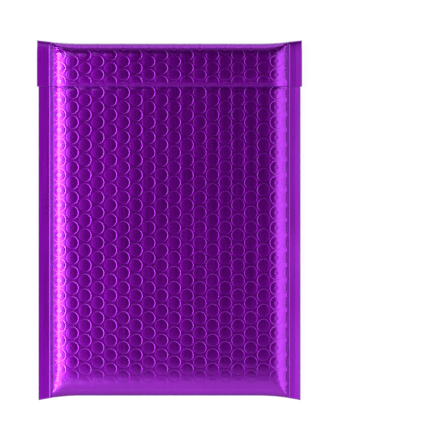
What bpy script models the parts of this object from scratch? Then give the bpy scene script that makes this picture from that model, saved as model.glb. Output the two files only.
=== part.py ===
"""A metallic bubble mailer, shut and lying on its back with the flap on top.

One laminated sheet is folded at the bottom, sealed down both sides and folded over at the top as the
flap. Its faces are height fields over the mailer laid out flat: x runs across it, and s runs up it
from the bottom fold to the fold of the flap. X is the width, Y points to that fold and Z is up.
"""

import math

import bmesh
import bpy
from mathutils import Vector
from mathutils.geometry import delaunay_2d_cdt

# The mailer across its seals, and how thick the full pouch is
WIDTH = 0.203
LENGTH = 0.279
POUCH_THICKNESS = 0.013

# Side seals: a flat strip, then a raised bead along the pouch
SEAL_THICKNESS = 0.0008
SEAL_WIDTH = 0.0077
BEAD_WIDTH = 0.0016
BEAD_HEIGHT = 0.0004

# How far in from its edges the pouch reaches its full thickness
SIDE_RUN = 0.018
BOTTOM_RUN = 0.030
TOP_RUN = 0.012
CORNER_BLEND = 0.2

# The full pouch draws the middle of both ends in
BOTTOM_PULL = 0.0035
TOP_PULL = 0.0029
END_PULL_WIDTH = 0.033
END_PULL_REACH = 0.060

# Bubbles, and the plain margins that seals and folds press flat
BUBBLE_PITCH = 0.01164
BUBBLE_WIDTH = 0.0095
BUBBLE_RELIEF = 0.0009
EDGE_FADE = 0.0030
SIDE_MARGIN = 0.0024
BOTTOM_MARGIN = 0.0060
TOP_MARGIN = 0.0045

# The flap, its pressed hem, and the slot under it
FLAP_DEPTH = 0.036
FLAP_THICKNESS = 0.0013
FLAP_OVERHANG = 0.0012
HEM_WIDTH = 0.0022
HEM_THICKNESS = 0.0006
HEM_STEP = 0.0012
FLAP_FIRST_BUBBLE = 0.0090
SLOT_END = 0.0034
CLEARANCE = 0.0003

# The adhesive strip in the slot
STRIP_WIDTH = 0.018
STRIP_THICKNESS = 0.0004
STRIP_FROM_HEM = 0.0070

# How finely the plain stretches are divided
SLOPE_STEP = 0.0080
SIDE_STEP = 0.040
MIDDLE_STEP = 0.045
MARGIN_ROWS = 2

MIDDLE_Z = POUCH_THICKNESS / 2
POUCH_HALF = WIDTH / 2 - SEAL_WIDTH - BEAD_WIDTH
FLAP_START = LENGTH - FLAP_DEPTH
SLOT_FAR = LENGTH - SLOT_END
STRIP_START = FLAP_START + STRIP_FROM_HEM
STRIP_SLOT = STRIP_THICKNESS + 2 * CLEARANCE


def clamp(value, low, high):
    return min(max(value, low), high)


def ramp(value, start, end):
    """0 at start and 1 at end, with a straight line between them."""
    return clamp((value - start) / (end - start), 0.0, 1.0)


def spread(start, end, step):
    """Values from start to end, evenly spaced and no further apart than the step."""
    count = max(1, math.ceil(abs(end - start) / step - 1e-6))
    return [start + (end - start) * k / count for k in range(count + 1)]


def merged(*lists):
    """One sorted list of the values, with those that coincide kept once."""
    kept = []
    for value in sorted(v for values in lists for v in values):
        if not kept or value - kept[-1] > 1e-6:
            kept.append(value)
    return kept


# The shape of the pouch


def rise(distance, run):
    """A quarter ellipse, from 0 at a seam to 1 a run away from it."""
    return math.sqrt(1 - (1 - clamp(distance / run, 0.0, 1.0)) ** 2)


def fullness(x, s):
    """How full the pouch is, from 0 at its seams to 1, with soft creases in its corners."""
    side = rise(POUCH_HALF - abs(x), SIDE_RUN)
    end = min(rise(s, BOTTOM_RUN), rise(LENGTH - s, TOP_RUN))
    overlap = max(CORNER_BLEND - abs(side - end), 0.0) / CORNER_BLEND
    full = 1 - CORNER_BLEND / 4
    return (min(side, end) - overlap**2 * CORNER_BLEND / 4) / full


def half_thickness(x, s):
    return (SEAL_THICKNESS + (POUCH_THICKNESS - SEAL_THICKNESS) * fullness(x, s)) / 2


def bead(x):
    """The raised line between a side seal and the pouch."""
    off_centre = abs(abs(x) - POUCH_HALF - BEAD_WIDTH / 2)
    return BEAD_HEIGHT * clamp(1 - off_centre / (BEAD_WIDTH / 2), 0.0, 1.0)


def laid_at(x, s, z):
    """The place of a point of the sheet, with both ends drawn in by the full pouch."""
    from_edge = clamp((WIDTH / 2 - abs(x)) / END_PULL_WIDTH, 0.0, 1.0)
    share = 1 - (1 - from_edge) ** 2
    from_bottom = max(1 - s / END_PULL_REACH, 0.0) ** 2
    from_top = max(1 - (LENGTH - s) / END_PULL_REACH, 0.0) ** 2
    y = s - LENGTH / 2 + share * (BOTTOM_PULL * from_bottom - TOP_PULL * from_top)
    return Vector((x, y, z))


def front(x, s, level=0.0):
    return laid_at(x, s, MIDDLE_Z + half_thickness(x, s) + bead(x) + level)


def back(x, s, level=0.0):
    spread_out = flap_spread(x) * ramp(s, SLOT_FAR, LENGTH)
    return laid_at(x + spread_out, s, MIDDLE_Z - half_thickness(x, s) - bead(x) - level)


# The shape of the flap


def flap_spread(x):
    """How much further out the flap's side strips reach than the pouch's."""
    return math.copysign(FLAP_OVERHANG * ramp(abs(x), POUCH_HALF, WIDTH / 2), x)


def slot_height(x, s):
    """The room under the flap: wide enough for the strip, and closing towards the hem and the sides."""
    over_strip = min(ramp(s, FLAP_START, STRIP_START), ramp(s, SLOT_FAR, STRIP_START + STRIP_WIDTH))
    inside = ramp(POUCH_HALF - abs(x), 0.0, SIDE_MARGIN)
    return CLEARANCE + (STRIP_SLOT - CLEARANCE) * over_strip * inside


def flap_thickness(s):
    hem_end = FLAP_START + HEM_WIDTH
    return HEM_THICKNESS + (FLAP_THICKNESS - HEM_THICKNESS) * ramp(s, hem_end, hem_end + HEM_STEP)


def flap_under(x, s, level=0.0):
    return front(x, s, level) + Vector((flap_spread(x), 0, slot_height(x, s)))


def flap_top(x, s, level=0.0):
    closing = rise(LENGTH - s, TOP_RUN)
    stand = (slot_height(x, min(s, SLOT_FAR)) + flap_thickness(s)) * closing
    return front(x, s, level) + Vector((flap_spread(x), 0, stand))


# Where the faces are divided


def margin_steps(margin):
    """Distances in from a seam, closer together at the seam, where the pouch is steepest."""
    return [margin * (k / MARGIN_ROWS) ** 2 for k in range(MARGIN_ROWS + 1)]


def across():
    """Lines of constant x that all faces share: the seams, the slopes and a few over the flat middle."""
    seams = [POUCH_HALF + BEAD_WIDTH / 2, POUCH_HALF + BEAD_WIDTH, WIDTH / 2]
    margin = [POUCH_HALF - step for step in margin_steps(SIDE_MARGIN)]
    slope = spread(POUCH_HALF - SIDE_MARGIN, POUCH_HALF - SIDE_RUN, SLOPE_STEP)
    middle = spread(POUCH_HALF - SIDE_RUN, 0.0, MIDDLE_STEP)
    half = merged(seams, margin, slope, middle)
    return merged(half, [-x for x in half])


def bottom_rows():
    return margin_steps(BOTTOM_MARGIN)


def top_rows():
    return [LENGTH - step for step in reversed(margin_steps(TOP_MARGIN))]


def slot_rows():
    """Rows of the faces in the slot, with the strip's own edges among them."""
    return [FLAP_START, STRIP_START, STRIP_START + STRIP_WIDTH, SLOT_FAR]


def hem_rows():
    return [FLAP_START, FLAP_START + HEM_WIDTH]


def side_stops():
    """Every value of s at which an edge of the mailer is divided, on all of its faces alike."""
    sides = spread(BOTTOM_MARGIN, FLAP_START, SIDE_STEP)
    return merged(bottom_rows(), sides, hem_rows(), slot_rows(), top_rows())


def key(x, s):
    return (round(x, 6), round(s, 6))


def honeycomb(x_limit, s_low, s_high, s_anchor):
    """Centres of bubbles in columns, each column half a pitch from the next."""
    column_step = BUBBLE_PITCH * math.sqrt(3) / 2
    columns = round((2 * x_limit - BUBBLE_PITCH) / column_step) + 1
    centres = []
    for column in range(columns):
        x = column_step * (column - (columns - 1) / 2)
        first = s_anchor + BUBBLE_PITCH / 2 * (column % 2)
        first -= BUBBLE_PITCH * (math.ceil((first - s_low) / BUBBLE_PITCH - 1e-6) - 1)
        for row in range(math.ceil((s_high - first) / BUBBLE_PITCH)):
            centres.append((x, first + BUBBLE_PITCH * row))
    return centres


def bubbles(s_low, s_high, s_anchor, pressed=False):
    """Points {(x, s): level} and edges of a field of bubbles, cut off square at its limits.

    The tops are flat and six-sided, with a valley along each side. Where the sheet is pressed on the
    floor they spread until their corners touch, and each gap between three is a pit.
    """
    x_limit = POUCH_HALF - SIDE_MARGIN
    gap = BUBBLE_PITCH / math.sqrt(3)
    top = BUBBLE_PITCH / 2 if pressed else BUBBLE_WIDTH / math.sqrt(3)
    turn = math.pi / 6 if pressed else 0.0
    levels = {}
    edges = set()

    def ring(x, s, radius, first_angle, level):
        made = []
        for corner in range(6):
            angle = first_angle + corner * math.pi / 3
            px, ps = x + radius * math.cos(angle), s + radius * math.sin(angle)
            to_edge = min(x_limit - abs(px), ps - s_low, s_high - ps)
            at = key(clamp(px, -x_limit, x_limit), clamp(ps, s_low, s_high))
            levels.setdefault(at, level * clamp(to_edge / EDGE_FADE, 0.0, 1.0))
            made.append(at)
        return [(a, b) for a, b in zip(made, made[1:] + made[:1]) if a != b]

    for x, s in honeycomb(x_limit, s_low, s_high, s_anchor):
        edges.update(ring(x, s, top, turn, 0.0))
        valleys = ring(x, s, gap, 0.0, -BUBBLE_RELIEF)
        if not pressed:
            edges.update(valleys)
    return levels, edges


def add_face(bm, place, rows_low, rows_high=(), field=({}, ())):
    """Adds one face of the mailer to the mesh, and gives its corners by (x, s).

    The rows run right across it. Between the low and the high ones lies the field of bubbles, where
    only the seams are divided along their length.
    """
    lines = across()
    low, high = (rows_low[0], (rows_high or rows_low)[-1])
    stops = [s for s in side_stops() if low - 1e-6 < s < high + 1e-6]
    levels, edges = dict(field[0]), set(field[1])
    for s in (*rows_low, *rows_high):
        edges.update((key(a, s), key(b, s)) for a, b in zip(lines, lines[1:]))
    for x in lines:
        at_seam = abs(x) > POUCH_HALF - SIDE_MARGIN - 1e-6
        for run in [stops] if at_seam else [rows_low, rows_high]:
            edges.update((key(x, a), key(x, b)) for a, b in zip(run, run[1:]))
    for edge in sorted(edges):
        for at in edge:
            levels.setdefault(at, 0.0)
    flat = sorted(levels)
    index = {at: k for k, at in enumerate(flat)}
    links = [(index[a], index[b]) for a, b in sorted(edges)]
    spots = [Vector(at) for at in flat]
    found, _, triangles, origin, _, _ = delaunay_2d_cdt(spots, links, [], 0, 1e-7)
    corners = {}
    made = []
    for spot, sources in zip(found, origin):
        at = flat[sources[0]] if sources else key(*spot)
        corners[at] = bm.verts.new(place(*at, levels.get(at, 0.0)))
        made.append(corners[at])
    for triangle in triangles:
        bm.faces.new([made[k] for k in triangle])
    return corners


def add_wall(bm, side_a, side_b):
    """Closes the gap between two edges that are divided alike."""
    for a, b, c, d in zip(side_a, side_b, side_b[1:], side_a[1:]):
        bm.faces.new((a, b, c, d))


def edge_of(corners, points):
    return [corners[key(*point)] for point in points]


def material(name, color, metallic, roughness):
    made = bpy.data.materials.new(name)
    made.use_nodes = True
    shader = made.node_tree.nodes["Principled BSDF"]
    shader.inputs["Base Color"].default_value = (*color, 1.0)
    shader.inputs["Metallic"].default_value = metallic
    shader.inputs["Roughness"].default_value = roughness
    return made


def finish(bm, name, made_of):
    """Makes an object of the mesh, smooth over its curves and sharp at its edges."""
    bmesh.ops.recalc_face_normals(bm, faces=bm.faces)
    mesh = bpy.data.meshes.new(name)
    bm.to_mesh(mesh)
    bm.free()
    mesh.materials.append(made_of)
    mesh.shade_smooth()
    mesh.set_sharp_from_angle(angle=math.radians(50))
    obj = bpy.data.objects.new(name, mesh)
    bpy.context.collection.objects.link(obj)
    return obj


def make_mailer():
    """The whole sheet as one solid: back, front, and the flap with the slot under it."""
    bm = bmesh.new()
    bottom_anchor = BOTTOM_MARGIN + BUBBLE_PITCH / 2
    flap_anchor = LENGTH - FLAP_FIRST_BUBBLE
    far = LENGTH - TOP_MARGIN
    on_front = bubbles(BOTTOM_MARGIN, FLAP_START, bottom_anchor)
    on_back = bubbles(BOTTOM_MARGIN, far, bottom_anchor, pressed=True)
    on_flap = bubbles(hem_rows()[-1], far, flap_anchor)
    fronts = add_face(bm, front, bottom_rows(), slot_rows(), on_front)
    backs = add_face(bm, back, bottom_rows(), top_rows(), on_back)
    tops = add_face(bm, flap_top, hem_rows(), top_rows(), on_flap)
    unders = add_face(bm, flap_under, slot_rows())

    lines = across()
    stops = side_stops()
    pouch_stops = [s for s in stops if s <= SLOT_FAR + 1e-6]
    flap_stops = [s for s in pouch_stops if s >= FLAP_START - 1e-6]
    fold_stops = [s for s in stops if s > SLOT_FAR + 1e-6]

    def row(corners, s):
        return edge_of(corners, [(x, s) for x in lines])

    add_wall(bm, row(fronts, 0.0), row(backs, 0.0))
    add_wall(bm, row(tops, LENGTH), row(backs, LENGTH))
    add_wall(bm, row(tops, FLAP_START), row(unders, FLAP_START))
    add_wall(bm, row(unders, SLOT_FAR), row(fronts, SLOT_FAR))
    for x in (-WIDTH / 2, WIDTH / 2):
        pouch = [(x, s) for s in pouch_stops]
        flap = [(x, s) for s in flap_stops]
        fold = [(x, s) for s in [SLOT_FAR, *fold_stops]]
        add_wall(bm, edge_of(fronts, pouch), edge_of(backs, pouch))
        add_wall(bm, edge_of(tops, flap), edge_of(unders, flap))
        (top, *top_on), (low, *low_on) = edge_of(tops, fold), edge_of(backs, fold)
        add_wall(bm, top_on, low_on)
        inner = [low, *edge_of(fronts, fold[:1]), *edge_of(unders, fold[:1]), top]
        for a, b in zip(inner, inner[1:]):
            bm.faces.new((a, b, low_on[0]))
        bm.faces.new((top, top_on[0], low_on[0]))
    film = material("purple_metallised_film", (0.30, 0.012, 0.42), 0.9, 0.3)
    return finish(bm, "mailer", film)


def make_adhesive_strip():
    """The strip that closes the flap, lying along the slot between the slopes of the pouch."""
    bm = bmesh.new()
    lines = [x for x in across() if abs(x) < POUCH_HALF - SIDE_RUN + 1e-6]
    s_near, s_far = STRIP_START, STRIP_START + STRIP_WIDTH
    upper, lower = CLEARANCE + STRIP_THICKNESS, CLEARANCE
    loops = []
    for s, rise_by in ((s_near, lower), (s_far, lower), (s_far, upper), (s_near, upper)):
        loops.append([bm.verts.new(front(x, s, rise_by)) for x in lines])
    for side_a, side_b in zip(loops, loops[1:] + loops[:1]):
        add_wall(bm, side_a, side_b)
    for end in (0, -1):
        bm.faces.new([loop[end] for loop in loops])
    return finish(bm, "adhesive_strip", material("release_liner", (0.85, 0.85, 0.82), 0.0, 0.6))


def main():
    for obj in list(bpy.data.objects):
        bpy.data.objects.remove(obj, do_unlink=True)
    make_mailer()
    make_adhesive_strip()


main()
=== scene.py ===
"""Dresses a metallic bubble mailer: its embossed film, the liner of its adhesive, and a studio.

The film is modelled as it is made, flat, with one bubble pressed in it and copied into columns. Four
lengths of it are then draped over the pouch, as the front, the back and the two sides of the flap,
and welded along their edges into one closed skin.
"""

import math

import bmesh
import bpy
from bpy.props import FloatProperty, FloatVectorProperty, IntProperty, PointerProperty
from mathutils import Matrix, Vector, noise


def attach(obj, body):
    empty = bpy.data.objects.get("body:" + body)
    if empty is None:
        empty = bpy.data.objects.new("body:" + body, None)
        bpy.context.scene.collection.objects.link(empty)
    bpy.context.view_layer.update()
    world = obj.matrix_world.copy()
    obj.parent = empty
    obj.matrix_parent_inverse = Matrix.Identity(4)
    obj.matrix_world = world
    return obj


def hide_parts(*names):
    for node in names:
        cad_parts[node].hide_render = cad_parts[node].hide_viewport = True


bl_info = {
    "name": "Metallic Bubble Mailer",
    "version": (1, 0, 0),
    "blender": (4, 5, 0),
    "location": "View3D > Sidebar > Mailer",
    "description": "Builds the embossed film of a bubble mailer round its solids, and a studio",
    "category": "Object",
}

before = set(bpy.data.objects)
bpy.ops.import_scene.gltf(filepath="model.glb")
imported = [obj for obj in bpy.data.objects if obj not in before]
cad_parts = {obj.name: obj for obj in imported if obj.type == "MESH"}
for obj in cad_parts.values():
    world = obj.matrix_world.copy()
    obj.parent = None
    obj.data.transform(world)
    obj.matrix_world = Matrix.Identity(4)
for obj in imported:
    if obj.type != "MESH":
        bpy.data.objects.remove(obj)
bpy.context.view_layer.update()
WELD = 0.00001
SMOOTH_ANGLE = math.radians(55)
RING_POINTS = 16
FLOOR_SIZE = 30.0
FLOOR_GAP = 0.0002

# Each lamp's name, place, size, the setting that gives its radiance, and its share of that
SOFTBOXES = (
    ("left_softbox", (-0.53, 0.0, 0.78), (1.0, 0.42), "left_light", 1.0),
    ("left_core", (-0.62, 0.0, 0.77), (1.0, 0.12), "left_light", 4.0),
    ("left_far_wing", (-0.32, 0.44, 0.83), (0.36, 0.22), "left_light", 0.4),
    ("left_near_wing", (-0.32, -0.44, 0.83), (0.36, 0.22), "left_light", 0.4),
    ("left_feather", (-0.32, 0.0, 0.95), (1.0, 0.10), "left_light", 0.16),
    ("left_fill", (-0.92, 0.0, 0.38), (1.0, 0.42), "left_light", 0.5),
    ("right_softbox", (0.62, 0.0, 0.80), (1.2, 0.50), "right_light", 1.0),
    ("right_feather", (0.40, 0.0, 0.93), (1.2, 0.16), "right_light", 0.2),
    ("right_fill", (0.96, 0.0, 0.44), (1.2, 0.44), "right_light", 0.8),
    ("far_softbox", (0.0, 1.10, 0.22), (0.8, 0.36), "top_light", 1.0),
    ("far_fill", (0.0, 0.98, 0.52), (0.8, 0.40), "top_light", 0.2),
    ("near_feather", (0.0, -0.325, 0.97), (1.2, 0.17), "near_light", 0.28),
    ("near_softbox", (0.0, -0.60, 0.80), (1.2, 0.48), "near_light", 1.0),
    ("near_low", (0.0, -0.90, 0.45), (1.2, 0.56), "near_light", 1.0),
)


def length(name, description, default):
    """A size that a user may change, in metres."""
    return FloatProperty(
        name=name, description=description, default=default, unit="LENGTH", precision=5
    )


def color(name, description, default):
    """A colour that a user may change."""
    return FloatVectorProperty(
        name=name, description=description, default=default, subtype="COLOR", min=0, max=1
    )


class PouchSizes(bpy.types.PropertyGroup):
    """The pouch and its side seals"""

    width: length("Width", "Across the side seals", 0.203)
    length: length("Length", "From the bottom fold to the fold of the flap", 0.279)
    thickness: length("Thickness", "Of the full pouch", 0.013)
    seal_thickness: length("Seal Thickness", "Of the sheets where they are sealed", 0.0008)
    seal_width: length("Seal Width", "Of the flat strip along each side", 0.0077)
    bead_width: length("Bead Width", "Between the pouch and a flat strip", 0.0016)
    bead_height: length("Bead Height", "Of the raised line there, above the strip", 0.00015)
    side_run: length("Side Run", "From a side seal to the full thickness", 0.018)
    bottom_run: length("Bottom Run", "From the bottom fold to the full thickness", 0.030)
    top_run: length("Top Run", "From the top fold to the full thickness", 0.012)
    corner_blend: FloatProperty(
        name="Corner Blend", description="Softness of the creases in the corners", default=0.25
    )
    bottom_pull: length("Bottom Pull", "How far the full pouch draws in the bottom fold", 0.0035)
    top_pull: length("Top Pull", "How far it draws in the fold of the flap", 0.0025)
    end_pull_width: length("End Pull Width", "From a side to where the end is drawn in", 0.033)
    end_pull_reach: length("End Pull Reach", "How far up the pouch that pull reaches", 0.060)
    ripple: length("Ripple", "Height of the slow waves in the film", 0.00011)
    strip_ripple: length("Strip Ripple", "Height of the waves along the sealed strips", 0.00012)
    left_droop: length("Left Droop", "How far the edge of the left strip hangs down", 0.00004)
    right_droop: length("Right Droop", "How far the edge of the right strip hangs down", 0.00110)


class BubbleSizes(bpy.types.PropertyGroup):
    """One bubble of the film, and how many there are"""

    columns: IntProperty(name="Columns", description="Whole columns of bubbles", default=18)
    rows: IntProperty(name="Rows", description="Bubbles along the length of a column", default=24)
    column_step: length("Column Step", "From one column to the next", 0.00986)
    column_shift: length("Column Shift", "Of all the columns, from the middle of the pouch", -0.0012)
    radius: length("Radius", "Of the ring pressed round a bubble", 0.00532)
    wall: length("Wall", "Width of the steep outer wall of the ring", 0.00042)
    ring_depth: length("Ring Depth", "Of the ring below the film round it", 0.000088)
    shoulder: length("Shoulder", "Width of the outer border of the dome", 0.00090)
    shoulder_rise: length("Shoulder Rise", "Height of that border", 0.00006)
    dome: length("Dome", "Width of the inner border of the dome", 0.00210)
    dome_rise: length("Dome Rise", "Height of that border", 0.00007)
    bottom_fade_start: length("Bottom Start", "Where bubbles begin, from the bottom fold", 0.006)
    bottom_fade_end: length("Bottom End", "Where bubbles are whole, from the bottom fold", 0.024)
    top_fade_start: length("Top Start", "Where bubbles begin, from the top fold", 0.0042)
    top_fade_end: length("Top End", "Where bubbles are whole, from the top fold", 0.0088)


class FlapSizes(bpy.types.PropertyGroup):
    """The flap, its pressed hem and the slot under it"""

    depth: length("Depth", "From the fold to the hem", 0.036)
    thickness: length("Thickness", "Of the flap", 0.0013)
    overhang: length("Overhang", "How far it reaches beyond the pouch on each side", 0.0012)
    hem_width: length("Hem Width", "Of the band that is pressed flat", 0.0010)
    hem_thickness: length("Hem Thickness", "Of that band", 0.0012)
    hem_step: length("Hem Step", "From that band to the full thickness", 0.0018)
    first_row: length("First Row", "From the fold to the first whole row of bubbles", 0.0104)
    stretch: FloatProperty(
        name="Stretch", description="Length of a bubble on the flap against the pouch", default=0.935
    )
    slot_end: length("Slot End", "From the fold to the end of the slot", 0.0034)
    clearance: length("Clearance", "Between the flap and the pouch", 0.0003)
    hem_press: length("Hem Press", "How far the hem presses the pouch in", 0.00070)
    press_run: length("Press Run", "From the hem to where the pouch is full again", 0.0046)
    strip_width: length("Strip Width", "Of the adhesive strip", 0.018)
    strip_thickness: length("Strip Thickness", "Of the adhesive strip", 0.0004)
    strip_from_hem: length("Strip Place", "From the hem to the adhesive strip", 0.0070)


class FilmFinish(bpy.types.PropertyGroup):
    """The finish of the metallised film and of the liner"""

    film: color("Film", "The tinted metal layer", (0.24, 0.0015, 0.405))
    film_deep: color("Deep Film", "The same layer where it is thicker", (0.205, 0.001, 0.36))
    roughness: FloatProperty(name="Roughness", description="Of the metal layer", default=0.29)
    coat_roughness: FloatProperty(
        name="Coat Roughness", description="Of the clear film over it", default=0.15
    )
    coat_ior: FloatProperty(name="Coat IOR", description="Of the clear film", default=1.33)
    liner: color("Liner", "The paper that covers the adhesive", (0.85, 0.85, 0.82))
    grain: length("Grain", "Height of the finest grain of the film", 0.000004)
    drawn: length("Draw Lines", "Height of the lines along the film", 0.000007)
    puckers: length("Puckers", "Height of the small dents in the film", 0.000018)
    fibres: length("Fibres", "Height of the fibres of the liner", 0.00001)


class StudioSettings(bpy.types.PropertyGroup):
    """Camera, lamps and floor"""

    camera_place: FloatVectorProperty(
        name="Camera", description="Where the camera hangs", default=(0.0391, 0.0002, 1.513)
    )
    lens: FloatProperty(name="Lens", description="Focal length in millimetres", default=159.1)
    left_light: FloatProperty(name="Left", description="Radiance of the left softbox", default=4.4)
    right_light: FloatProperty(name="Right", description="Radiance of the right one", default=2.8)
    top_light: FloatProperty(name="Top", description="Radiance of the one beyond the flap", default=1.9)
    near_light: FloatProperty(name="Near", description="Radiance of the one at the bottom", default=1.1)
    world_light: FloatProperty(name="World", description="Radiance of the room", default=0.012)
    floor: color("Floor", "Floor and backdrop", (0.86, 0.86, 0.86))
    floor_white: FloatProperty(
        name="Floor White", description="Share of the floor that is seen as plain white", default=0.9
    )


def clamp(value, low, high):
    return min(max(value, low), high)


def ramp(value, start, end):
    """0 at start and 1 at end, with a straight line between them."""
    return clamp((value - start) / (end - start), 0.0, 1.0)


def rise(distance, run):
    """A quarter ellipse, from 0 at a seam to 1 a run away from it."""
    if distance < WELD:
        return 0.0
    return math.sqrt(1 - (1 - min(distance / run, 1.0)) ** 2)


class ClosedMailer:
    """Where each point of the flat film lies once the mailer is filled, folded and shut.

    On the flat film x runs across, y runs up from the bottom fold, and z is the relief of the bubbles.
    """

    # Roundings of the folds, of the cut edges and of the hem
    fold_round = 0.0009
    edge_round = 0.0004
    hem_round = 0.0003
    # The field of bubbles stops short of the seals, and the bubbles fade out along its edge
    field_inset = 0.0003
    field_fade = 0.0012
    # Where the bubbles fade out under the flap and behind its hem, from the hem
    fade_under_flap = (0.0005, 0.003)
    fade_behind_hem = (0.0013, 0.0021)
    plain_under_flap = 0.0035
    # Waves for each metre, and how far from the seams they are whole
    ripple_waves = (22, 15)
    ripple_fade = 0.012
    strip_waves = 26
    strip_fade = 0.02
    strip_curl = 0.2
    # The dent under the hem, and the slot behind it
    press_lines = (1, 0.60, 0.28)
    press_behind = 4
    press_fade = 0.003
    slot_fade = 0.0024
    slot_closing = 0.0002
    slot_margin = 0.002
    free_run = 0.005
    taper = 0.014
    # Over how far a slope is measured
    slope_step = 0.0001
    # The raised line beside the pouch: shares of the bead's width, and of its height there
    ridge = ((0.20, 0.0), (0.28, 1.0), (0.50, 0.6), (0.60, 0.0))

    def __init__(self, scene):
        self.pouch, self.flap = scene.mailer_pouch, scene.mailer_flap
        self.bubbles = scene.mailer_bubbles
        pouch, flap = self.pouch, self.flap
        self.length = pouch.length
        self.side = pouch.width / 2
        self.pouch_half = self.side - pouch.seal_width - pouch.bead_width
        self.field_half = self.pouch_half - self.field_inset
        self.middle = pouch.thickness / 2
        self.pitch = pouch.length / self.bubbles.rows
        self.column_step = self.bubbles.column_step
        self.hem = pouch.length - flap.depth
        self.slot_far = pouch.length - flap.slot_end
        self.strip_start = self.hem + flap.strip_from_hem
        self.strip_end = self.strip_start + flap.strip_width
        self.strip_slot = flap.strip_thickness + 2 * flap.clearance
        # Plain numbers, because reading them from the scene each time is slow
        self.sizes = {
            name: getattr(pouch, name) for name in pouch.bl_rna.properties.keys() if name != "rna_type"
        }

    def side_lines(self):
        """Distances from the middle at which the sealed strips are divided, from the pouch outwards,
        and whether the film has a sharp crease there."""
        pouch = self.pouch
        ridge = [self.pouch_half + pouch.bead_width * share for share, _ in self.ridge]
        halfway = (ridge[-1] + self.side) / 2
        edge = [self.side - self.edge_round * share for share in (1.6, 1.0, 0.0)]
        creases = [(line, True) for line in (self.pouch_half, *ridge)]
        return creases + [(line, False) for line in (halfway, *edge)]

    def flap_film(self, from_fold):
        """How much flat film there is between the fold and a place on the flap."""
        flap = self.flap
        if from_fold <= flap.slot_end:
            return from_fold
        if from_fold <= flap.first_row:
            share = (from_fold - flap.slot_end) / (flap.first_row - flap.slot_end)
            return flap.slot_end + share * (self.pitch - flap.slot_end)
        return self.pitch + (from_fold - flap.first_row) / flap.stretch

    def flap_place(self, film):
        """The distance from the fold of a point of the flap, given its flat film."""
        flap = self.flap
        if film <= flap.slot_end:
            return film
        if film <= self.pitch:
            share = (film - flap.slot_end) / (self.pitch - flap.slot_end)
            return flap.slot_end + share * (flap.first_row - flap.slot_end)
        return flap.first_row + (film - self.pitch) * flap.stretch

    def flap_cut(self, from_fold):
        """The y on the flat film of a place on the flap."""
        return self.length - self.flap_film(from_fold)

    # The pouch

    def fullness(self, x, s):
        """How full the pouch is, from 0 at its seams to 1, with creases in its corners."""
        pouch = self.sizes
        side = rise(self.pouch_half - abs(x), pouch["side_run"])
        bottom = rise(s, pouch["bottom_run"])
        end = min(bottom, rise(self.length - s, pouch["top_run"]))
        blend = pouch["corner_blend"]
        overlap = max(blend - abs(side - end), 0.0) / blend
        return (min(side, end) - overlap**2 * blend / 4) / (1 - blend / 4)

    def bead(self, x):
        """The raised line beside the pouch: steep towards the pouch, and gentle towards the strip."""
        share = (abs(x) - self.pouch_half) / self.sizes["bead_width"]
        for (start, low), (end, high) in zip(self.ridge, self.ridge[1:]):
            if start < share <= end:
                return self.sizes["bead_height"] * (low + (high - low) * ramp(share, start, end))
        return 0.0

    def ripple(self, x, s):
        """Slow waves in the film, which die out towards the seams."""
        inside = ramp(self.pouch_half - abs(x), 0.0, self.ripple_fade)
        across, along = self.ripple_waves
        wave = noise.noise(Vector((x * across, s * along, 0.0)))
        return self.sizes["ripple"] * wave * inside

    def pressed_in(self, x, s):
        """How far the hem of the flap presses the front of the pouch in."""
        run = self.flap.press_run
        behind = ramp(s, self.hem + self.press_behind * run, self.hem)
        near = min(ramp(s, self.hem - run, self.hem), behind)
        inside = ramp(self.pouch_half - abs(x), 0.0, self.press_fade)
        return self.flap.hem_press * near**2 * inside

    def body_half(self, x, s):
        """From the middle plane to the surface of the pouch."""
        thin = self.sizes["seal_thickness"]
        full = self.sizes["thickness"] - thin
        return (thin + full * self.fullness(x, s)) / 2 + self.bead(x)

    def middle_at(self, x, s):
        """The height of the middle plane, on which the sealed strips hang and wave."""
        out = ramp(abs(x), self.pouch_half, self.side)
        droop, side = (self.sizes["left_droop"], 0.0) if x < 0 else (self.sizes["right_droop"], 7.0)
        wave = noise.noise(Vector((side, s * self.strip_waves, 0.5)))
        inside = ramp(s, 0.0, self.strip_fade) * ramp(self.length - s, 0.0, self.strip_fade)
        hanging = droop * (1 - self.strip_curl + self.strip_curl * out)
        return self.middle + (self.sizes["strip_ripple"] * wave * inside - hanging) * out

    def drawn_in(self, x, s):
        """How far a point moves along the mailer, because the full pouch draws both ends in."""
        pouch = self.sizes
        from_edge = clamp((self.side - abs(x)) / pouch["end_pull_width"], 0.0, 1.0)
        share = 1 - (1 - from_edge) ** 2
        from_bottom = max(1 - s / pouch["end_pull_reach"], 0.0) ** 2
        from_top = max(1 - (self.length - s) / pouch["end_pull_reach"], 0.0) ** 2
        return share * (pouch["bottom_pull"] * from_bottom - pouch["top_pull"] * from_top)

    def spread(self, x, s, on_flap):
        """How far a point of a sealed strip lies further out, on and under the flap."""
        out = self.flap.overhang * ramp(abs(x), self.pouch_half, self.side)
        share = 1.0 if on_flap else ramp(s, self.slot_far - self.taper, self.slot_far)
        return math.copysign(out * share, x)

    # The heights of the four faces, without their bubbles

    def front_height(self, x, s):
        edge = rise(self.side - abs(x), self.edge_round)
        half = self.body_half(x, s) + self.ripple(x, s) - self.pressed_in(x, s)
        return self.middle_at(x, s) + half * edge * rise(s, self.fold_round)

    def back_height(self, x, s):
        edge = rise(self.side - abs(x), self.edge_round)
        folds = rise(s, self.fold_round) * rise(self.length - s, self.fold_round)
        return self.middle_at(x, s) - self.body_half(x, s) * edge * folds

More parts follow.
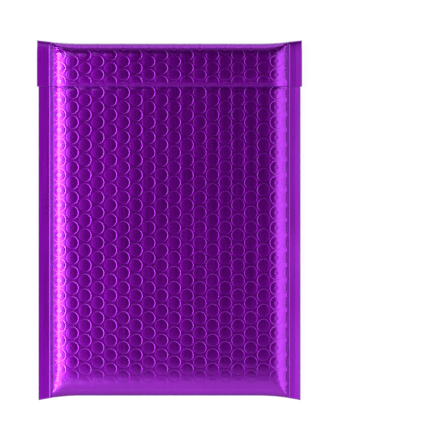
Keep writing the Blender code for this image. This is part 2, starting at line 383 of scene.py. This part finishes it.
    def slot_height(self, x, s):
        """The room under the flap: wide enough for the strip, closing towards the hem and the sides."""
        flap = self.flap
        over_strip = min(
            ramp(s, self.hem, self.strip_start), ramp(s, self.slot_far, self.strip_end)
        )
        inside = ramp(self.pouch_half - abs(x), 0.0, self.slot_fade)
        open_at_end = ramp(self.slot_far - s, 0.0, self.slot_closing)
        room = flap.clearance + (self.strip_slot - flap.clearance) * over_strip * inside
        return room * open_at_end

    def flap_thickness(self, s):
        flap = self.flap
        hem_end = self.hem + flap.hem_width
        grown = ramp(s, hem_end, hem_end + flap.hem_step)
        return flap.hem_thickness + (flap.thickness - flap.hem_thickness) * grown

    def flap_heights(self, x, s):
        """The heights of the flap's two sides, and the height at which its cut edges meet."""
        edge = rise(self.side - abs(x), self.edge_round)
        base = self.middle_at(x, s)
        on_pouch = base + self.body_half(x, s) + self.ripple(x, s) - self.pressed_in(x, s)
        under = on_pouch + self.slot_height(x, s)
        closing = rise(self.length - s, self.pouch.top_run)
        open_slot = self.slot_height(x, min(s, self.slot_far - self.slot_margin))
        stand = (open_slot + self.flap_thickness(s)) * closing
        top = on_pouch + stand
        free = ramp(self.length - s, self.flap.slot_end, self.flap.slot_end + self.free_run)
        rim = base + ((under + top) / 2 - base) * free
        under, top = rim + (under - rim) * edge, rim + (top - rim) * edge
        between = (under + top) / 2
        hem = rise(s - self.hem, self.hem_round)
        under, top = between + (under - between) * hem, between + (top - between) * hem
        fold = rise(self.length - s, self.fold_round)
        return under, base + (top - base) * fold

    def flap_under_height(self, x, s):
        return self.flap_heights(x, s)[0]

    def flap_top_height(self, x, s):
        return self.flap_heights(x, s)[1]

    # Places of the points of the film

    def shown(self, x, s):
        """How much of a bubble shows: none at the seams and the folds."""
        bubbles = self.bubbles
        at_side = ramp(self.field_half - abs(x), 0.0, self.field_fade)
        at_bottom = ramp(s, bubbles.bottom_fade_start, bubbles.bottom_fade_end)
        at_top = ramp(self.length - s, bubbles.top_fade_start, bubbles.top_fade_end)
        return at_side * at_bottom * at_top

    def placed(self, height, x, s, level, outward, on_flap):
        """The point of one face, moved out along the face's normal by the relief of a bubble."""
        y = s - self.length / 2 + self.drawn_in(x, s)
        point = Vector((x + self.spread(x, s, on_flap), y, height(x, s)))
        if abs(level) > 1e-7:
            step = self.slope_step
            across = (height(x + step, s) - height(x - step, s)) / (2 * step)
            along = (height(x, s + step) - height(x, s - step)) / (2 * step)
            normal = Vector((-across, -along, 1.0)).normalized()
            point += normal * (level * outward)
        return point

    def front(self, x, y, level):
        start, end = self.fade_under_flap
        clear_of_flap = 1 - ramp(y, self.hem + start, self.hem + end)
        relief = level * self.shown(x, y) * clear_of_flap
        return self.placed(self.front_height, x, y, relief, 1, False)

    def back(self, x, y, level):
        relief = level * self.shown(x, y)
        point = self.placed(self.back_height, x, y, relief, -1, False)
        point.z = max(point.z, 0.0)
        return point

    def flap_s(self, y):
        return self.length - self.flap_place(self.length - y)

    def flap_top(self, x, y, level):
        s = self.flap_s(y)
        hem_end = self.hem + self.flap.hem_width
        start, end = self.fade_behind_hem
        relief = level * self.shown(x, s) * ramp(s, hem_end + start, hem_end + end)
        return self.placed(self.flap_top_height, x, s, relief, 1, True)

    def flap_under(self, x, y, level):
        return self.placed(self.flap_under_height, x, self.flap_s(y), 0.0, -1, True)


# Modelling


def deselect_all():
    for obj in bpy.context.selected_objects:
        obj.select_set(False)


def only(obj):
    """Makes this the one object that operators act on."""
    deselect_all()
    obj.select_set(True)
    bpy.context.view_layer.objects.active = obj
    return obj


def edit(obj):
    """Starts to edit an object, with all of it selected."""
    only(obj)
    bpy.ops.object.mode_set(mode="EDIT")
    bpy.ops.mesh.select_all(action="SELECT")


def select(obj, kind, test):
    """Selects the vertices, edges or faces that pass a test, and nothing else."""
    bpy.ops.mesh.select_mode(type=kind)
    bpy.ops.mesh.select_all(action="DESELECT")
    bm = bmesh.from_edit_mesh(obj.data)
    for item in {"VERT": bm.verts, "EDGE": bm.edges, "FACE": bm.faces}[kind]:
        item.select_set(test(item))
    return bm


def object_mode():
    bpy.ops.object.mode_set(mode="OBJECT")


def pressed_bubble(shape):
    """One bubble and the six-sided piece of flat film round it, narrowed to the step of the columns."""
    bubbles = shape.bubbles
    corner_radius = shape.pitch / math.sqrt(3)
    squeeze = shape.column_step / (shape.pitch * math.sqrt(3) / 2)
    turn = math.radians(30)
    deselect_all()
    bpy.ops.mesh.primitive_circle_add(vertices=6, radius=corner_radius, rotation=(0, 0, turn))
    cell = bpy.context.object
    bpy.ops.object.transform_apply(location=False, rotation=True, scale=False)
    edit(cell)
    bpy.ops.mesh.subdivide(number_cuts=1)
    bpy.ops.mesh.primitive_circle_add(
        vertices=RING_POINTS, radius=bubbles.radius, rotation=(0, 0, turn)
    )
    bpy.ops.mesh.select_all(action="SELECT")
    bpy.ops.mesh.bridge_edge_loops()
    bm = select(cell, "VERT", lambda vertex: vertex.co.length < bubbles.radius * 1.01)
    bm.select_flush(True)
    bpy.ops.mesh.edge_face_add()
    bm = select(cell, "FACE", lambda face: True)
    bpy.ops.mesh.normals_make_consistent(inside=False)
    if next(iter(bm.faces)).normal.z < 0:
        bpy.ops.mesh.flip_normals()
    select(cell, "FACE", lambda face: face.calc_center_median().length < bubbles.radius / 10)
    bpy.ops.mesh.inset(thickness=bubbles.wall, depth=-bubbles.ring_depth)
    bpy.ops.mesh.mark_sharp()
    for width, depth in (
        (bubbles.shoulder, bubbles.shoulder_rise),
        (bubbles.dome, bubbles.dome_rise),
    ):
        bpy.ops.mesh.inset(thickness=width, depth=depth)
    bm = bmesh.from_edit_mesh(cell.data)
    for face in bm.faces:
        face.material_index = face.calc_center_median().length < bubbles.radius

    def in_ring(edge):
        return all(abs(vertex.co.length - bubbles.radius) < WELD for vertex in edge.verts)

    select(cell, "EDGE", in_ring)
    bpy.ops.mesh.mark_sharp()
    bpy.ops.mesh.select_all(action="SELECT")
    bpy.ops.transform.resize(value=(squeeze, 1, 1), center_override=(0, 0, 0))
    object_mode()
    return cell


def repeat(obj, count, offset):
    """Copies a piece along a line, and merges each copy's edge with the next one's."""
    copies = obj.modifiers.new("Copies", "ARRAY")
    copies.count = count
    copies.use_relative_offset = False
    copies.use_constant_offset = True
    copies.constant_offset_displace = offset
    copies.use_merge_vertices = True
    copies.merge_threshold = WELD
    only(obj)
    bpy.ops.object.modifier_apply(modifier=copies.name)


def cut(obj, y=None, x=None, keep=None):
    """Divides the film along a line, and clears what lies above or below it if told to."""
    edit(obj)
    bpy.ops.mesh.bisect(
        plane_co=(x or 0.0, y or 0.0, 0.0),
        plane_no=(1, 0, 0) if y is None else (0, 1, 0),
        clear_inner=keep == "above",
        clear_outer=keep == "below",
        threshold=WELD,
    )
    object_mode()


def extrude_side(obj, shape, side):
    """Extrudes the edge of the film outwards, over the bead and the sealed strip."""
    def at_side(edge):
        far = max(abs(vertex.co.x - side * shape.field_half) for vertex in edge.verts)
        return far < WELD * 5 and edge.is_boundary

    edit(obj)
    select(obj, "EDGE", at_side)
    done = shape.field_half
    for line, crease in shape.side_lines():
        move = {"value": (side * (line - done), 0, 0)}
        bpy.ops.mesh.extrude_region_move(TRANSFORM_OT_translate=move)
        if crease:
            bpy.ops.mesh.mark_sharp()
        done = line
    object_mode()


def flat_film(shape):
    """The whole width and length of the film, flat, with its bubbles, strips and crease lines."""
    film = pressed_bubble(shape)
    film.name = "flat_film"
    step, pitch = shape.column_step, shape.pitch
    only(film)
    bpy.ops.object.duplicate()
    second = bpy.context.object
    bpy.ops.transform.translate(value=(-step, pitch / 2, 0))
    film.select_set(True)
    bpy.context.view_layer.objects.active = film
    bpy.ops.object.join()
    columns = shape.bubbles.columns
    only(film)
    first = shape.bubbles.column_shift - step * (columns - 1) / 2
    bpy.ops.transform.translate(value=(first, 0, 0))
    bpy.ops.object.transform_apply(location=True, rotation=False, scale=False)
    repeat(film, columns // 2 + 1, (2 * step, 0, 0))
    repeat(film, shape.bubbles.rows + 1, (0, pitch, 0))
    edit(film)
    bpy.ops.mesh.remove_doubles(threshold=WELD)
    object_mode()
    cut(film, x=shape.field_half, keep="below")
    cut(film, x=-shape.field_half, keep="above")
    cut(film, y=0.0, keep="above")
    cut(film, y=shape.length, keep="below")
    for side in (-1, 1):
        extrude_side(film, shape, side)
    flap = shape.flap
    hem_end = flap.depth - flap.hem_width
    at_fold = [shape.fold_round * share for share in (1 / 3, 1, 2, 3.5)]
    at_hem = (flap.depth, flap.depth - shape.hem_round, hem_end, hem_end - flap.hem_step)
    creases = [
        *(shape.hem - flap.press_run * share for share in shape.press_lines),
        *at_fold,
        *(shape.flap_cut(from_fold) for from_fold in at_hem),
        shape.slot_far,
        *(shape.length - from_fold for from_fold in at_fold),
    ]
    for y in creases:
        cut(film, y=y)
    return film


def draped(film, name, place, low, high, plain_from=None):
    """A copy of the film between two lines, laid in its place on the mailer.

    Where the flap hides it, beyond the line plain_from, each bubble is made one flat face.
    """
    only(film)
    bpy.ops.object.duplicate()
    sheet = bpy.context.object
    sheet.name = name
    edit(sheet)
    select(sheet, "FACE", lambda face: not low < face.calc_center_median().y < high)
    bpy.ops.mesh.delete(type="FACE")
    if plain_from is not None:

        def hidden_bubble(face):
            return face.material_index == 1 and face.calc_center_median().y > plain_from

        select(sheet, "FACE", hidden_bubble)
        bpy.ops.mesh.dissolve_faces()
    object_mode()
    for vertex in sheet.data.vertices:
        vertex.co = place(*vertex.co)
    return sheet


def welded(sheets, name):
    """One closed skin of the sheets, whose edges already meet."""
    first = only(sheets[0])
    for sheet in sheets:
        sheet.select_set(True)
    bpy.ops.object.join()
    first.name = name
    first.data.name = name
    edit(first)
    bpy.ops.mesh.remove_doubles(threshold=WELD / 5)
    bpy.ops.mesh.normals_make_consistent(inside=False)
    object_mode()
    bpy.ops.object.shade_smooth_by_angle(angle=SMOOTH_ANGLE, keep_sharp_edges=True)
    return first


def check_closed(obj):
    """Stops if the skin has an open or a shared edge."""
    bm = bmesh.new()
    bm.from_mesh(obj.data)
    odd = sum(1 for edge in bm.edges if not edge.is_manifold)
    triangles = sum(len(face.verts) - 2 for face in bm.faces)
    bm.free()
    if odd:
        raise RuntimeError(f"{obj.name} has {odd} edges that don't join two faces")
    print(f"{obj.name}: {triangles} triangles")


# Materials


class Number:
    """A number in a material, on which Python's arithmetic adds Math nodes."""

    def __init__(self, shader, socket):
        self.shader, self.socket = shader, socket

    def math(self, operation, first, second):
        return self.shader.add("ShaderNodeMath", {"operation": operation}, {0: first, 1: second})

    def __add__(self, other):
        return self.math("ADD", self, other)

    __radd__ = __add__

    def __sub__(self, other):
        return self.math("SUBTRACT", self, other)

    def __rsub__(self, other):
        return self.math("SUBTRACT", other, self)

    def __mul__(self, other):
        return self.math("MULTIPLY", self, other)

    __rmul__ = __mul__

    def clipped(self, low, high):
        """0 below low, 1 above high and straight between them."""
        inputs = {"Value": self, "From Min": low, "From Max": high}
        return self.shader.add("ShaderNodeMapRange", {"clamp": True}, inputs)


class Shader:
    """The node tree of a material."""

    def __init__(self, name):
        self.material = bpy.data.materials.new(name)
        self.material.use_nodes = True
        self.tree = self.material.node_tree
        self.tree.nodes.clear()

    def add(self, kind, settings=None, inputs=None, output=0):
        """Adds a node, with its settings and then its sockets, and gives one of its outputs."""
        node = self.tree.nodes.new(kind)
        for name, value in (settings or {}).items():
            setattr(node, name, value)
        for name, value in (inputs or {}).items():
            if isinstance(value, Number):
                self.tree.links.new(value.socket, node.inputs[name])
            else:
                node.inputs[name].default_value = value
        return Number(self, node.outputs[output]) if node.outputs else None

    def place(self, scale=(1, 1, 1)):
        """Object coordinates, stretched."""
        at = self.add("ShaderNodeTexCoord", output="Object")
        return self.add("ShaderNodeMapping", {}, {"Vector": at, "Scale": scale})

    def noise(self, scale, stretch=(1, 1, 1), detail=2.0):
        inputs = {"Vector": self.place(stretch), "Scale": scale, "Detail": detail}
        return self.add("ShaderNodeTexNoise", {}, inputs, "Fac")

    def mix_color(self, share, first, second):
        inputs = {0: share, 6: first, 7: second}
        return self.add("ShaderNodeMix", {"data_type": "RGBA"}, inputs, 2)

    def bump(self, height, distance, below=None):
        inputs = {"Height": height, "Distance": distance, "Strength": 1.0}
        if below:
            inputs["Normal"] = below
        return self.add("ShaderNodeBump", {}, inputs)

    def surface(self, inputs):
        shader = self.add("ShaderNodeBsdfPrincipled", {}, inputs)
        self.add("ShaderNodeOutputMaterial", {}, {"Surface": shader})
        return self.material


def metallised_film(finish):
    """Tinted metal under clear film, with faint draw lines, slow colour change and a fine grain."""
    shader = Shader("metallised_film")
    drawn = shader.noise(420.0, (1.0, 0.05, 1.0), 3.0)
    slow = shader.noise(16.0, detail=2.0)
    grain = shader.noise(1500.0, detail=2.0)
    puckers = shader.noise(190.0, (1.0, 0.7, 1.0), 1.0)
    share = (slow - 0.5) * 1.6 + (drawn - 0.5) * 0.5 + 0.5
    base = shader.mix_color(share, (*finish.film_deep, 1), (*finish.film, 1))
    roughness = finish.roughness + (drawn - 0.5) * 0.10 + (grain - 0.5) * 0.06
    fine = shader.bump(grain, finish.grain)
    lines = shader.bump(drawn, finish.drawn, fine)
    normal = shader.bump(puckers, finish.puckers, lines)
    return shader.surface(
        {
            "Base Color": base,
            "Metallic": 1.0,
            "Roughness": roughness,
            "Coat Weight": 1.0,
            "Coat Roughness": finish.coat_roughness,
            "Coat IOR": finish.coat_ior,
            "Normal": normal,
        }
    )


def release_liner(finish):
    """Siliconed paper: off-white, with fibres that show in its colour and its gloss."""
    shader = Shader("release_liner")
    fibres = shader.noise(900.0, (1.0, 0.3, 1.0), 3.0)
    cloud = shader.noise(60.0)
    dark = [channel * 0.93 for channel in finish.liner]
    share = (fibres - 0.5) * 0.8 + (cloud - 0.5) * 0.6 + 0.5
    base = shader.mix_color(share, (*dark, 1), (*finish.liner, 1))
    roughness = 0.5 + (fibres - 0.5) * 0.2
    normal = shader.bump(fibres, finish.fibres)
    return shader.surface({"Base Color": base, "Roughness": roughness, "Normal": normal})


def seen_as_white(shader, lit, share):
    """A surface that the camera and reflections see as white, in part or whole."""
    rays = ("Is Camera Ray", "Is Glossy Ray", "Is Transmission Ray")
    camera, glossy, clear = (shader.add("ShaderNodeLightPath", output=name) for name in rays)
    seen = camera + glossy + clear
    white = shader.add("ShaderNodeEmission", {}, {"Color": (1, 1, 1, 1), "Strength": 1.0})
    factor = seen.clipped(0.0, 1.0) * share
    return shader.add("ShaderNodeMixShader", {}, {0: factor, 1: lit, 2: white})


def floor_paint(studio):
    """Pale paper, which keeps a faint shadow of the mailer."""
    shader = Shader("studio_floor")
    inputs = {"Base Color": (*studio.floor, 1), "Roughness": 0.9, "Specular IOR Level": 0.1}
    lit = shader.add("ShaderNodeBsdfPrincipled", {}, inputs)
    mixed = seen_as_white(shader, lit, studio.floor_white)
    shader.add("ShaderNodeOutputMaterial", {}, {"Surface": mixed})
    return shader.material


# Operators, one for each piece and one for the stage


class MAILER_OT_film(bpy.types.Operator):
    """Build the embossed film of the pouch and its flap as one closed skin"""

    bl_idname = "mailer.film"
    bl_label = "Embossed Film"

    def execute(self, context):
        shape = ClosedMailer(context.scene)
        film = flat_film(shape)
        hem = shape.flap_cut(shape.flap.depth)
        plain_from = shape.hem + shape.plain_under_flap
        sheets = [
            draped(film, "mailer_film", shape.front, 0.0, shape.slot_far, plain_from),
            draped(film, "back_sheet", shape.back, 0.0, shape.length),
            draped(film, "flap_top_sheet", shape.flap_top, hem, shape.length),
            draped(film, "flap_under_sheet", shape.flap_under, hem, shape.slot_far, hem),
        ]
        bpy.data.objects.remove(film)
        skin = welded(sheets, "mailer_film")
        check_closed(skin)
        skin.data.materials.clear()
        skin.data.materials.append(metallised_film(context.scene.mailer_finish))
        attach(skin, "root")
        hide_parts("mailer")
        return {"FINISHED"}


class MAILER_OT_liner(bpy.types.Operator):
    """Give the adhesive strip under the flap its paper liner's finish"""

    bl_idname = "mailer.liner"
    bl_label = "Release Liner"

    def execute(self, context):
        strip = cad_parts["adhesive_strip"]
        paper = release_liner(context.scene.mailer_finish)
        for material_slot in strip.material_slots:
            material_slot.material = paper
        return {"FINISHED"}


class MAILER_OT_studio(bpy.types.Operator):
    """Set up the pale floor, the softboxes and the camera over the mailer"""

    bl_idname = "mailer.studio"
    bl_label = "Studio"

    def softbox(self, name, place, size, radiance):
        """A rectangular lamp that faces the middle of the mailer."""
        at = Vector(place)
        turn = (-at).to_track_quat("-Z", "Y").to_euler()
        bpy.ops.object.light_add(type="AREA", location=at, rotation=turn)
        lamp = bpy.context.object
        lamp.name = name
        lamp.data.shape = "RECTANGLE"
        lamp.data.size, lamp.data.size_y = size
        lamp.data.energy = radiance * size[0] * size[1] * math.pi
        lamp.visible_camera = False

    def make_floor(self, studio):
        """A wide sheet of paper, just under the mailer."""
        deselect_all()
        bpy.ops.mesh.primitive_plane_add(size=FLOOR_SIZE, location=(0, 0, -FLOOR_GAP))
        floor = bpy.context.object
        floor.name = "studio_floor"
        bpy.ops.object.transform_apply()
        floor.data.materials.append(floor_paint(studio))

    def light_world(self, radiance):
        """A dim room, in front of a backdrop that the camera sees as white."""
        world = bpy.data.worlds.new("studio_room")
        bpy.context.scene.world = world
        world.use_nodes = True
        tree = world.node_tree
        tree.nodes.clear()
        ray = tree.nodes.new("ShaderNodeLightPath")
        room = tree.nodes.new("ShaderNodeBackground")
        room.inputs["Color"].default_value = (1, 1, 1, 1)
        room.inputs["Strength"].default_value = radiance
        white = tree.nodes.new("ShaderNodeBackground")
        white.inputs["Color"].default_value = (1, 1, 1, 1)
        mixed = tree.nodes.new("ShaderNodeMixShader")
        out = tree.nodes.new("ShaderNodeOutputWorld")
        tree.links.new(ray.outputs["Is Camera Ray"], mixed.inputs[0])
        tree.links.new(room.outputs[0], mixed.inputs[1])
        tree.links.new(white.outputs[0], mixed.inputs[2])
        tree.links.new(mixed.outputs[0], out.inputs[0])

    def execute(self, context):
        studio = context.scene.mailer_studio
        self.make_floor(studio)
        self.light_world(studio.world_light)
        for name, place, size, light, share in SOFTBOXES:
            self.softbox(name, place, size, getattr(studio, light) * share)
        bpy.ops.object.camera_add(location=studio.camera_place, rotation=(0, 0, 0))
        camera = bpy.context.object
        camera.name = "photo_camera"
        camera.data.lens = studio.lens
        camera.data.sensor_width = 36.0
        context.scene.camera = camera
        context.scene.view_settings.view_transform = "Standard"
        return {"FINISHED"}


class MAILER_PT_panel(bpy.types.Panel):
    """The pieces of the mailer, in the 3D view's sidebar"""

    bl_label = "Bubble Mailer"
    bl_idname = "MAILER_PT_panel"
    bl_space_type = "VIEW_3D"
    bl_region_type = "UI"
    bl_category = "Mailer"

    def draw(self, context):
        layout = self.layout
        groups = (
            (MAILER_OT_film, ("mailer_pouch", "mailer_bubbles", "mailer_flap")),
            (MAILER_OT_liner, ("mailer_finish",)),
            (MAILER_OT_studio, ("mailer_studio",)),
        )
        for operator, names in groups:
            layout.operator(operator.bl_idname)
            for name in names:
                group = getattr(context.scene, name)
                for prop in type(group).__annotations__:
                    layout.prop(group, prop)


GROUPS = {
    "mailer_pouch": PouchSizes,
    "mailer_bubbles": BubbleSizes,
    "mailer_flap": FlapSizes,
    "mailer_finish": FilmFinish,
    "mailer_studio": StudioSettings,
}
CLASSES = (*GROUPS.values(), MAILER_OT_film, MAILER_OT_liner, MAILER_OT_studio, MAILER_PT_panel)


def register():
    for cls in CLASSES:
        bpy.utils.register_class(cls)
    for name, group in GROUPS.items():
        setattr(bpy.types.Scene, name, PointerProperty(type=group))


def unregister():
    for name in GROUPS:
        delattr(bpy.types.Scene, name)
    for cls in reversed(CLASSES):
        bpy.utils.unregister_class(cls)


def main():
    """Builds the pieces and the studio."""
    register()
    bpy.ops.mailer.film()
    bpy.ops.mailer.liner()
    bpy.ops.mailer.studio()
    bpy.context.view_layer.update()


if __name__ == "__main__":
    main()
